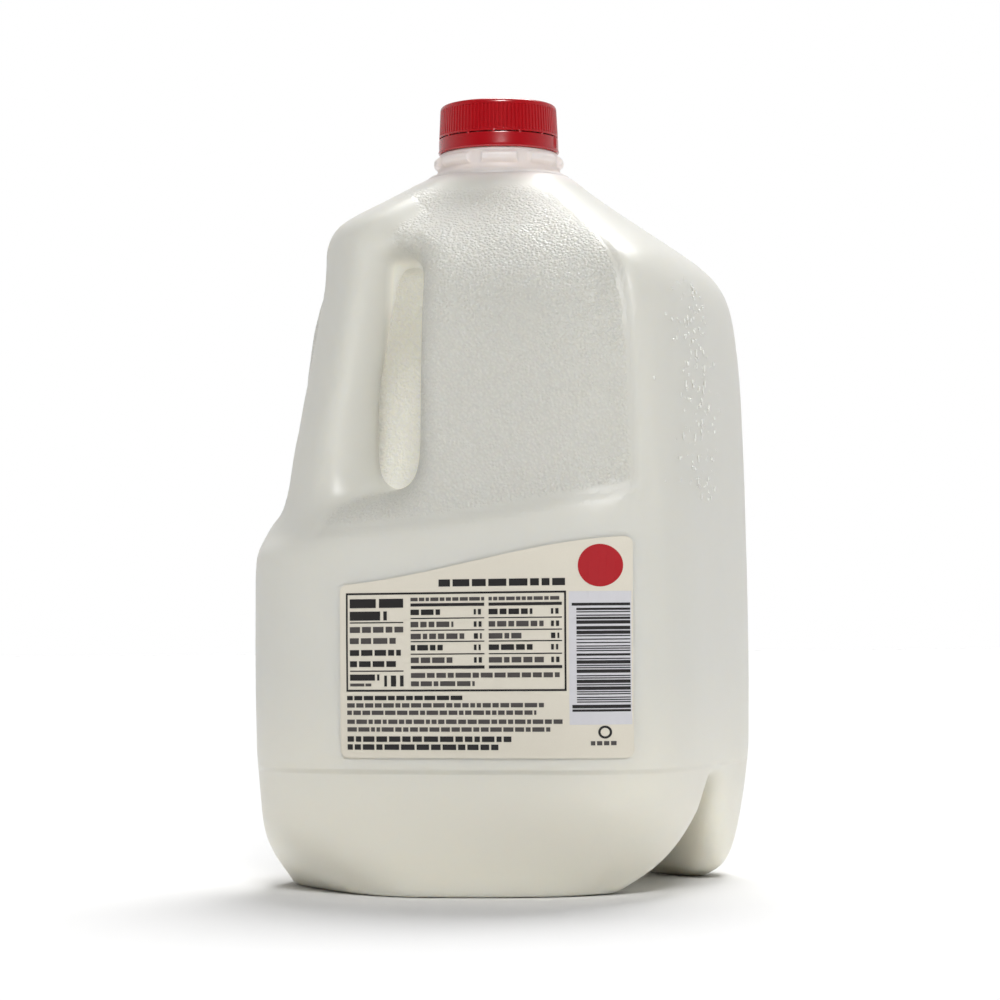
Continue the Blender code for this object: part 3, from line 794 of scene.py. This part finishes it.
# %% Print the lines below it and the striped field
STRIPES_LEFT = 46.2
STRIPES_RIGHT = 61.6
STRIPES_LOW = 58.2
STRIPES_HIGH = 91.6
STRIPE_LAP = 1.4                 # mm that the end stripes are longer
STRIPE_WIDTHS = (0.35, 0.35, 0.7, 1.05)
STRIPE_SPACES = (0.35, 0.35, 0.7)
LINES_LEFT = -28.2
LINES = ((62.6, 10.6), (60.3, 36.0), (58.0, 33.6), (55.2, 42.0), (52.8, 38.6))

for k, (z, right_edge) in enumerate(LINES):
    blocks(LINES_LEFT, right_edge, z, 1.35, 80 + k, 4.0, black_ink if k == 0 else grey_ink)
blocks(LINES_LEFT, 25.6, 49.8, 1.7, 90, 5.0, black_ink)
blocks(LINES_LEFT, 21.4, 47.3, 1.7, 91, 5.0, black_ink)

dice = random.Random(7)
z = STRIPES_LOW
while z < STRIPES_HIGH - 0.4:
    thick = dice.choice(STRIPE_WIDTHS)
    near_end = z < STRIPES_LOW + 1.5 or z > STRIPES_HIGH - 2.2
    left = STRIPES_LEFT - (STRIPE_LAP if near_end else 0.0)
    bar(left, z, STRIPES_RIGHT, min(z + thick, STRIPES_HIGH), black_ink)
    z += thick + dice.choice(STRIPE_SPACES)
blocks(50.2, 58.6, 48.5, 1.3, 92, 2.2)
bar(43.9, 54.2, 61.9, 95.2, pale_ink)
print("stripes printed:", len(black_ink), "black shapes in all")

# %% [markdown]
# The disc and the small round mark are circles. Each starts as a circle of many sides with its
# face filled. The small mark is a ring, so its middle is inset and deleted.

# %% Print the disc and the ring, then lay all ink on the paper
DISC_PLACE = (53.2, 103.1)
DISC_RADIUS = 6.55
MARK_PLACE = (54.4, 51.9)
MARK_RADIUS = 2.0
MARK_HOLE = 1.3


def disc(along, height, radius, ink, hole=0.0):
    """One printed disc, or a ring if it has a hole, in mm on the side."""
    bpy.ops.object.select_all(action="DESELECT")
    bpy.ops.mesh.primitive_circle_add(vertices=64, radius=radius * MM, fill_type="NGON")
    bpy.context.object.rotation_euler = UPRIGHT_TURN.to_euler()
    bpy.context.object.location = on_side(along, height)
    piece = named("ink")
    if hole:
        edit(piece)
        bpy.ops.mesh.select_all(action="SELECT")
        bpy.ops.mesh.inset(thickness=(radius - hole) * MM, depth=0.0)
        bpy.ops.mesh.delete(type="FACE")
        leave()
    ink.append(piece)


disc(*DISC_PLACE, DISC_RADIUS, red_ink)
disc(*MARK_PLACE, MARK_RADIUS, black_ink, hole=MARK_HOLE)
prints = {}
for name, ink, layers in (
    ("print_pale", pale_ink, 1), ("print_red", red_ink, 1),
    ("print_grey", grey_ink, 2), ("print_black", black_ink, 2),
):
    only(ink[0])
    for piece in ink:
        piece.select_set(True)
    bpy.ops.object.join()
    joined = bpy.context.object
    joined.name = name
    joined.data.name = name
    slice_up(joined)
    lay_on(joined, label, layers * INK_HEIGHT)
    prints[name] = joined
    print(name, triangles(joined), "triangles")

# %% [markdown]
# ## Condensation
#
# The milk is cold, so drops of water have formed on the side seen at a grazing angle, in a loose
# upright band, and a few have run down. One drop is modelled, a flattened ball with its back cut
# off. It is copied at several sizes, and each copy is set on the wall where a line from outside
# meets it.

# %% Model one drop and scatter it
DROPS = 190
DROP_SEED = 11
DROP_LOW_Z = 124.0               # mm, as the next three
DROP_HIGH_Z = 196.0
DROP_MIDDLE = 26.0               # from the middle of the side towards the handle
DROP_SPREAD = 12.0
DROP_SIZES = (0.25, 0.3, 0.4, 0.5, 0.7)
DROP_RUNS = (1.0, 1.0, 1.0, 1.2, 1.7)
DROP_HEIGHT = 0.55               # share of its radius
DROP_SUNK = 0.1                  # share of its radius behind the wall
OUTSIDE = 0.15                   # m, where the lines to the wall start
SIDE_WALL = 0.04                 # m, the side's wall lies further out than this
GRAZING = Vector((1.0, -1.0, 0.0)).normalized()
TO_FRONT = Vector((1.0, 1.0, 0.0)).normalized()

bpy.ops.object.select_all(action="DESELECT")
bpy.ops.mesh.primitive_uv_sphere_add(segments=10, ring_count=8, radius=1.0)
drop = named("drop")
edit(drop)
bpy.ops.mesh.select_all(action="SELECT")
bpy.ops.mesh.bisect(
    plane_co=(0.0, 0.0, -DROP_SUNK), plane_no=(0.0, 0.0, 1.0), use_fill=True, clear_inner=True
)
bpy.ops.mesh.select_all(action="SELECT")
bpy.ops.transform.resize(value=(1.0, 1.0, DROP_HEIGHT))
leave()

dice = random.Random(DROP_SEED)
drops = []
while len(drops) < DROPS:
    along = -dice.gauss(DROP_MIDDLE, DROP_SPREAD)
    height = dice.uniform(DROP_LOW_Z, DROP_HIGH_Z)
    start = GRAZING * OUTSIDE + TO_FRONT * (along * MM)
    start.z = height * MM
    hit, place, normal, _ = wall.ray_cast(start, -GRAZING)
    if not hit or place.dot(GRAZING) < SIDE_WALL:
        continue
    size = dice.choice(DROP_SIZES) * MM
    run = dice.choice(DROP_RUNS)
    sideways = normal.cross(up).normalized()
    upward = sideways.cross(normal).normalized()
    turn = Matrix((sideways, -upward, normal)).transposed().to_4x4()
    scale = Matrix.Diagonal((size, size * run, size, 1.0))
    copy = bpy.data.objects.new("drop_copy", drop.data.copy())
    bpy.context.scene.collection.objects.link(copy)
    copy.data.transform(Matrix.Translation(place) @ turn @ scale)
    drops.append(copy)
bpy.data.objects.remove(drop)
only(drops[0])
for copy in drops:
    copy.select_set(True)
bpy.ops.object.join()
water_drops = bpy.context.object
water_drops.name = "condensation"
water_drops.data.name = "condensation"
edit(water_drops)
bpy.ops.mesh.select_all(action="SELECT")
bpy.ops.mesh.normals_make_consistent(inside=False)
leave()
bpy.ops.object.shade_smooth()
print("condensation:", triangles(water_drops), "triangles")

# %% [markdown]
# ## Materials
#
# Every finish is a set of nodes that start from object coordinates, so a pattern keeps its real
# size in millimetres wherever the piece stands. The node helper from the top of the lesson adds
# each node, sets its values and links its inputs.

# %% [markdown]
# ### Blow-moulded polyethylene with milk behind it
#
# Polyethylene is milky by itself, and milk scatters light through its whole depth. Together
# they give a soft white with no clear edge between light and shade, which subsurface scattering
# makes. The wall has the faint waves of blow moulding, the etched grain on the panels, about
# 1 mm from bump to bump, and the fine step that runs round the jug above its feet.
# Its colour also holds painted light: lighter towards the foot, lighter and pinker at the neck,
# painted shade in the grain's low spots and the crease, and a painted glow in the finger gap.

# %% Material of the bottle
GRAIN_SIZE = 0.95 * MM
STEP_Z = 39.5 * MM
STEP_HEIGHT = 1.0 * MM
STEP_RELIEF = 0.8 * MM
WAVE_SIZE = 24.0 * MM
WAVE_RELIEF = 1.2 * MM
GRAIN_RELIEF = 0.3 * MM
PIT_SPAN = (0.15, 0.8)           # from the middle of a cell to its edge
PIT_PAINTED_SHADE = 0.94                 # painted shade in the low spots of the grain and along the crease
BODY_COLOUR = "#dfded6"
# The foot is creamier than the body, which is the plastic's tone, and lighter, which is painted
# light.
FOOT_PAINTED_LIGHT_COLOUR = "#f5f1e2"
FOOT_HIGH_Z = 70.0 * MM          # the foot's painted light has faded out here
NECK_PAINTED_LIGHT_COLOUR = "#f6eae4"          # painted light: the neck painted lighter, with a painted red reflection of the cap
NECK_FADE_Z = (229.0 * MM, 235.0 * MM)
# Painted light: the finger gap's wall is painted lighter and made to glow.
GAP_PAINTED_LIGHT_COLOUR = "#fcfaf1"
GAP_PAINTED_GLOW = 0.12                  # painted glow of the gap's wall, which is no lamp
SHEEN = (0.34, 0.46)             # roughness, which the waves vary
HDPE_IOR = 1.54
MILK_DEPTH = 9.0 * MM            # how far light travels inside
MILK_TINT = (1.0, 0.92, 0.78)
MILK_SHARE = 0.6

hdpe, tree, shader = material("blow_moulded_hdpe")
place = add(tree, "ShaderNodeTexCoord").outputs["Object"]
split = add(tree, "ShaderNodeSeparateXYZ", Vector=place)
waves = add(tree, "ShaderNodeTexNoise", Vector=place, Scale=1.0 / WAVE_SIZE, Detail=2.0)
cells = add(tree, "ShaderNodeTexVoronoi", {"feature": "F1"}, Vector=place, Scale=1.0 / GRAIN_SIZE)
pits = add(tree, "ShaderNodeMapRange", {"interpolation_type": "SMOOTHSTEP"},
           Value=cells.outputs["Distance"], From_Min=PIT_SPAN[0], From_Max=PIT_SPAN[1])
mask = add(tree, "ShaderNodeAttribute", {"attribute_name": "grain"}).outputs["Fac"]
line = add(tree, "ShaderNodeAttribute", {"attribute_name": "crease"}).outputs["Fac"]
grain_height = add(tree, "ShaderNodeMath", {"operation": "MULTIPLY"},
                   n0=pits.outputs["Result"], n1=mask)
groove = add(tree, "ShaderNodeMapRange", {"interpolation_type": "SMOOTHSTEP"},
             Value=split.outputs["Z"],
             From_Min=STEP_Z - STEP_HEIGHT, From_Max=STEP_Z + STEP_HEIGHT)
# Painted light: the wall is painted lighter and creamier towards the foot.
foot_light_share = add(tree, "ShaderNodeMapRange", Value=split.outputs["Z"],
                 From_Min=0.0, From_Max=FOOT_HIGH_Z)
foot_lit_tone = add(tree, "ShaderNodeMix", {"data_type": "RGBA"}, Factor=foot_light_share.outputs["Result"],
           n6=linear(FOOT_PAINTED_LIGHT_COLOUR), n7=linear(BODY_COLOUR))
# Painted light and painted reflection: the neck is painted lighter and pinker, as if lit by the red
# cap.
neck_light_share = add(tree, "ShaderNodeMapRange", Value=split.outputs["Z"],
                 From_Min=NECK_FADE_Z[0], From_Max=NECK_FADE_Z[1])
bright = add(tree, "ShaderNodeMix", {"data_type": "RGBA"}, Factor=neck_light_share.outputs["Result"],
             n6=foot_lit_tone.outputs[2], n7=linear(NECK_PAINTED_LIGHT_COLOUR))
# Painted light: the finger gap's wall is painted lighter.
gap_light_share = add(tree, "ShaderNodeAttribute", {"attribute_name": "gap"}).outputs["Fac"]
lit = add(tree, "ShaderNodeMix", {"data_type": "RGBA"}, Factor=gap_light_share,
          n6=bright.outputs[2], n7=linear(GAP_PAINTED_LIGHT_COLOUR))
# Painted shade: the low spots of the grain and the crease are painted darker.
low_spots = add(tree, "ShaderNodeMath", {"operation": "MAXIMUM"},
                n0=grain_height.outputs["Value"], n1=line)
shade = add(tree, "ShaderNodeMapRange", Value=low_spots.outputs["Value"],
            To_Min=1.0, To_Max=PIT_PAINTED_SHADE)
grained = add(tree, "ShaderNodeMix", {"data_type": "RGBA", "blend_type": "MULTIPLY"}, Factor=1.0,
              n6=lit.outputs[2], n7=shade.outputs["Result"])
tree.links.new(grained.outputs[2], shader.inputs["Base Color"])
# Painted light: the finger gap's wall glows, though it is no lamp.
gap_painted_glow = add(tree, "ShaderNodeMath", {"operation": "MULTIPLY"}, n0=gap_light_share, n1=GAP_PAINTED_GLOW)
tree.links.new(gap_painted_glow.outputs["Value"], shader.inputs["Emission Strength"])
shader.inputs["Emission Color"].default_value = linear(GAP_PAINTED_LIGHT_COLOUR)
rough = add(tree, "ShaderNodeMapRange", Value=waves.outputs["Fac"],
            To_Min=SHEEN[0], To_Max=SHEEN[1])
tree.links.new(rough.outputs["Result"], shader.inputs["Roughness"])
wave_bump = add(tree, "ShaderNodeBump", Strength=0.25, Distance=WAVE_RELIEF,
                Height=waves.outputs["Fac"])
step_bump = add(tree, "ShaderNodeBump", Strength=0.9, Distance=STEP_RELIEF,
                Height=groove.outputs["Result"], Normal=wave_bump.outputs["Normal"])
grain_bump = add(tree, "ShaderNodeBump", {"invert": True}, Strength=1.0, Distance=GRAIN_RELIEF,
                 Height=low_spots.outputs["Value"], Normal=step_bump.outputs["Normal"])
tree.links.new(grain_bump.outputs["Normal"], shader.inputs["Normal"])
shader.inputs["IOR"].default_value = HDPE_IOR
shader.inputs["Subsurface Weight"].default_value = MILK_SHARE
shader.inputs["Subsurface Radius"].default_value = MILK_TINT
shader.inputs["Subsurface Scale"].default_value = MILK_DEPTH
print("hdpe grain of", GRAIN_SIZE / MM, "mm")

# %% [markdown]
# ### Injection-moulded polypropylene
#
# The cap and its band are coloured through, so even their cut edges are red. The mould is
# polished, and the plastic shines, with the faintest orange-peel of about 0.8 mm.

# %% Material of the cap and the band
PEEL_SIZE = 0.8 * MM
PEEL_RELIEF = 0.1 * MM
POLISH_SIZE = 9.0 * MM           # patches where the mould is a little duller
POLYPROPYLENE_IOR = 1.49


def red_plastic(name, code, rough_low, rough_high):
    """Polished red polypropylene."""
    made, tree, shader = material(name)
    place = add(tree, "ShaderNodeTexCoord").outputs["Object"]
    peel = add(tree, "ShaderNodeTexNoise", Vector=place, Scale=1.0 / PEEL_SIZE, Detail=2.0)
    cloud = add(tree, "ShaderNodeTexNoise", Vector=place, Scale=1.0 / POLISH_SIZE, Detail=3.0)
    rough = add(tree, "ShaderNodeMapRange", Value=cloud.outputs["Fac"],
                To_Min=rough_low, To_Max=rough_high)
    tree.links.new(rough.outputs["Result"], shader.inputs["Roughness"])
    bump = add(tree, "ShaderNodeBump", Strength=0.12, Distance=PEEL_RELIEF,
               Height=peel.outputs["Fac"])
    tree.links.new(bump.outputs["Normal"], shader.inputs["Normal"])
    shader.inputs["Base Color"].default_value = linear(code)
    shader.inputs["IOR"].default_value = POLYPROPYLENE_IOR
    shader.inputs["Specular IOR Level"].default_value = 1.0
    shader.inputs["Subsurface Weight"].default_value = 0.08
    shader.inputs["Subsurface Radius"].default_value = (1.0, 0.15, 0.12)
    shader.inputs["Subsurface Scale"].default_value = 1.5 * MM
    return made


cap_red = red_plastic("moulded_polypropylene_cap", "#b40c18", 0.18, 0.26)
band_red = red_plastic("moulded_polypropylene_band", "#b00e1a", 0.15, 0.22)
print("red plastics ready")

# %% [markdown]
# ### Coated paper and ink
#
# The paper is cream, with a dull coating and a tooth too fine to see from here, so it is drawn
# at 0.4 mm. The inks are flat and a little shinier than the paper.

# %% Materials of the label and its print
TOOTH_SIZE = 0.4 * MM
TOOTH_RELIEF = 0.04 * MM
TOOTH_TONES = (0.97, 1.03)
COATING_SIZE = 14.0 * MM         # patches where the coating is a little duller
PAPER_IOR = 1.48


def paper(name, code, rough_low, rough_high, tooth):
    """Coated paper, or ink on it."""
    made, tree, shader = material(name)
    place = add(tree, "ShaderNodeTexCoord").outputs["Object"]
    fibre = add(tree, "ShaderNodeTexNoise", Vector=place, Scale=1.0 / TOOTH_SIZE, Detail=4.0)
    cloud = add(tree, "ShaderNodeTexNoise", Vector=place, Scale=1.0 / COATING_SIZE, Detail=3.0)
    rough = add(tree, "ShaderNodeMapRange", Value=cloud.outputs["Fac"],
                To_Min=rough_low, To_Max=rough_high)
    tree.links.new(rough.outputs["Result"], shader.inputs["Roughness"])
    shade = add(tree, "ShaderNodeMapRange", Value=fibre.outputs["Fac"],
                To_Min=TOOTH_TONES[0], To_Max=TOOTH_TONES[1])
    colour = add(tree, "ShaderNodeMix", {"data_type": "RGBA", "blend_type": "MULTIPLY"}, Factor=1.0,
                 n6=linear(code), n7=shade.outputs["Result"])
    tree.links.new(colour.outputs[2], shader.inputs["Base Color"])
    bump = add(tree, "ShaderNodeBump", Strength=tooth, Distance=TOOTH_RELIEF,
               Height=fibre.outputs["Fac"])
    tree.links.new(bump.outputs["Normal"], shader.inputs["Normal"])
    shader.inputs["IOR"].default_value = PAPER_IOR
    return made


label_paper = paper("coated_paper_cream", "#e2dccd", 0.45, 0.58, 0.3)
ink_black = paper("offset_ink_black", "#1c1a1a", 0.38, 0.5, 0.15)
ink_grey = paper("offset_ink_grey", "#4a4644", 0.38, 0.5, 0.15)
ink_red = paper("offset_ink_red", "#b00d1b", 0.36, 0.48, 0.15)
ink_pale = paper("offset_ink_lavender_white", "#d6d5d9", 0.42, 0.55, 0.2)
print("paper and ink ready")

# %% [markdown]
# ### Water
#
# A drop gathers the light and shows as a bright point with a darker edge. Seen from here most of
# them are fogged, so the water lets only a part of the light through.

# %% Material of the drops
RIPPLE_SIZE = 2.0 * MM
WATER_IOR = 1.33
WATER_CLEAR = 0.1                # share of the light that goes through a fogged drop

water, tree, shader = material("water_drops")
place = add(tree, "ShaderNodeTexCoord").outputs["Object"]
ripple = add(tree, "ShaderNodeTexNoise", Vector=place, Scale=1.0 / RIPPLE_SIZE, Detail=1.0)
film = add(tree, "ShaderNodeMapRange", Value=ripple.outputs["Fac"], To_Min=0.02, To_Max=0.06)
tree.links.new(film.outputs["Result"], shader.inputs["Roughness"])
shader.inputs["Base Color"].default_value = linear("#f6f5f0")
shader.inputs["IOR"].default_value = WATER_IOR
shader.inputs["Transmission Weight"].default_value = WATER_CLEAR
shader.inputs["Coat Weight"].default_value = 0.6
print("water ready")

# %% [markdown]
# ### Painted floor
#
# The studio's floor is matt white paint, a little uneven over patches of about 170 mm. It only
# takes the shadow, so it has hardly any shine.

# %% Material of the floor
PAINT_PATCHES = 6.0              # in each metre

sweep, tree, shader = material("painted_studio_floor")
place = add(tree, "ShaderNodeTexCoord").outputs["Object"]
cloud = add(tree, "ShaderNodeTexNoise", Vector=place, Scale=PAINT_PATCHES, Detail=2.0)
rough = add(tree, "ShaderNodeMapRange", Value=cloud.outputs["Fac"], To_Min=0.7, To_Max=0.8)
tree.links.new(rough.outputs["Result"], shader.inputs["Roughness"])
shader.inputs["Base Color"].default_value = linear("#ececec")
shader.inputs["Specular IOR Level"].default_value = 0.1
print("floor ready")

# %% [markdown]
# ## Put it together
#
# Each piece gets its material and rides on the jug's one body, and the imported piece that it
# stands for is hidden.

# %% Dress every piece and hide the imported pieces
for piece, finish, node, slot in (
    (wall, hdpe, "jug", "jug"),
    (neck, hdpe, None, "jug"),
    (cap, cap_red, "cap", "cap"),
    (band, band_red, "tamper_band", "tamper_band"),
    (label, label_paper, "label", "label"),
    (prints["print_black"], ink_black, None, "label"),
    (prints["print_grey"], ink_grey, None, "label"),
    (prints["print_red"], ink_red, None, "label"),
    (prints["print_pale"], ink_pale, None, "label"),
    (water_drops, water, None, "jug"),
):
    piece.data.materials.clear()
    piece.data.materials.append(finish)
    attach(piece, "root")
    if node:
        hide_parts(node)
floor.data.materials.clear()
floor.data.materials.append(sweep)
